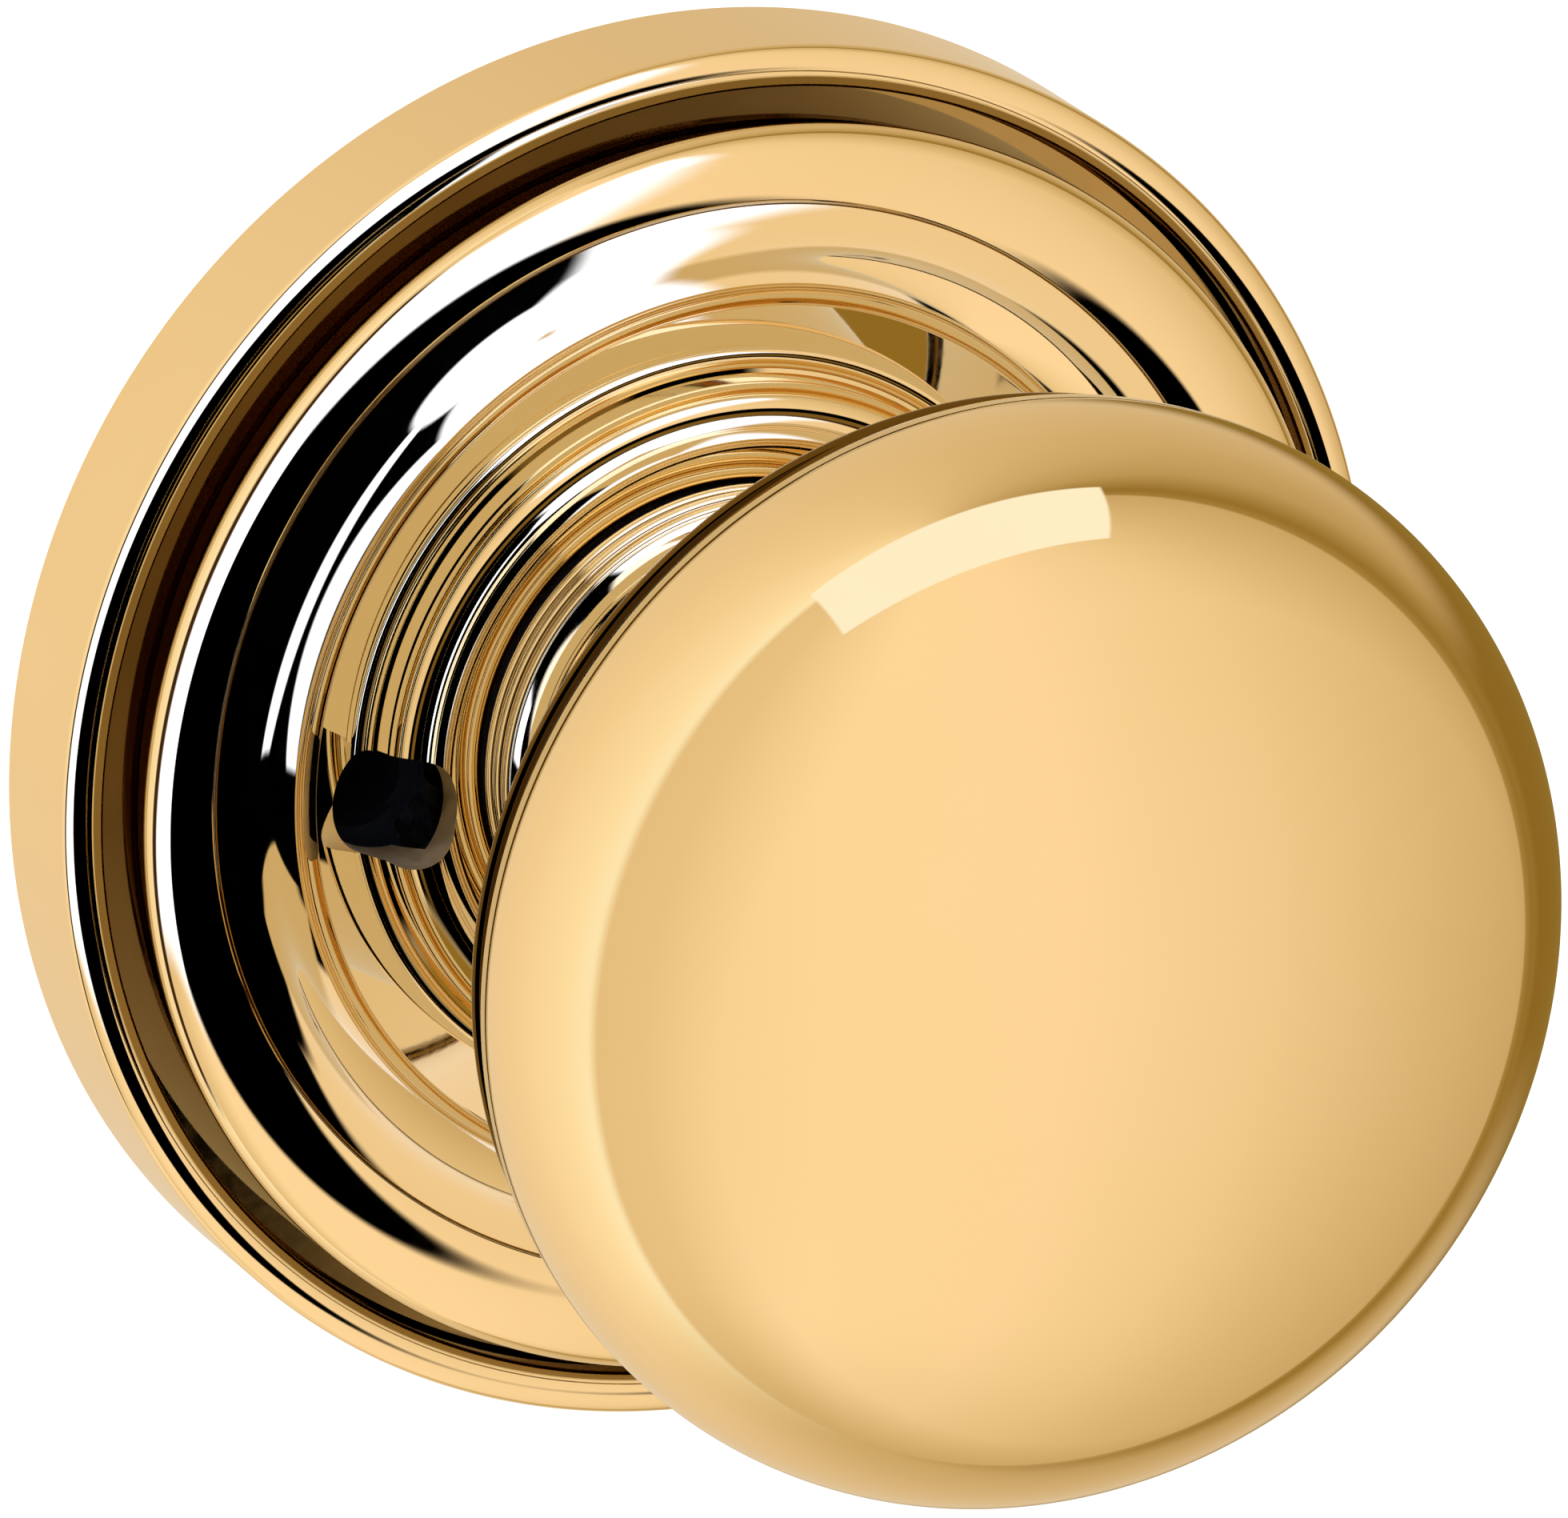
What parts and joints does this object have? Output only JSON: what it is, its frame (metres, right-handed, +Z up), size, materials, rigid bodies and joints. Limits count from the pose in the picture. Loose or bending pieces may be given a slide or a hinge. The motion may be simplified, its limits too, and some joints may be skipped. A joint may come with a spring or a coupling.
{
  "type": "door knob",
  "caption": "Polished brass privacy door knob: hollow domed knob on a moulded round rose, with return spring, square spindle and release pin.",
  "frame": {"origin": "centre of the rose's back face, on the door's surface and on the knob's axis", "axes": "-Y out of the door along the knob's axis, +Y into the door along the spindle, +Z up, +X to the right seen from the knob's side"},
  "size_m": [0.07, 0.0997, 0.07],
  "materials": {
    "polished_brass": "mirror-polished, clear lacquered",
    "solder": "dull tin solder",
    "cast_zinc": "as-cast zinc alloy, matt",
    "plated_steel": "bright zinc-plated",
    "plain_steel": "turned",
    "spring_steel": "drawn and oiled",
    "black_oxide": "black oxide",
    "black_nylon": "moulded nylon",
    "bronze": "turned bearing bronze"
  },
  "bodies": {
    "trim": {"rose": "polished_brass", "neck_bushing": "black_nylon", "mounting_plate": "plated_steel", "mounting_posts": "plated_steel", "spring_housing": "plated_steel", "housing_cover": "plated_steel", "turn_stops": "plain_steel", "return_spring": "spring_steel", "housing_rivets": "plain_steel", "rose_clips": "spring_steel", "clip_rivets": "plain_steel", "release_guide": "black_nylon", "release_spring": "spring_steel"},
    "knob": {"knob_face": "polished_brass", "knob_back": "polished_brass", "seam_solder": "solder", "knob_collar": "polished_brass", "drive_insert": "cast_zinc", "spindle": "plated_steel", "spindle_pin": "plain_steel", "knob_set_screw": "black_oxide", "thrust_washer": "bronze", "neck_circlip": "spring_steel", "spring_driver": "cast_zinc"},
    "release": {"release_pin": "black_oxide", "release_clip": "spring_steel"}
  },
  "joints": [
    {"name": "knob_turn", "type": "hinge", "parent": "trim", "child": "knob", "pos_m": [0, 0, 0], "axis": [0, 1, 0], "range_deg": [-60, 60], "stiffness_Nm_per_rad": 0.25, "deforming": ["return_spring"]},
    {"name": "release_push", "type": "slide", "parent": "trim", "child": "release", "axis": [0, 1, 0], "range_m": [0, 0.005], "stiffness_N_per_m": 400, "springref_m": -0.003, "deforming": ["release_spring"]}
  ]
}
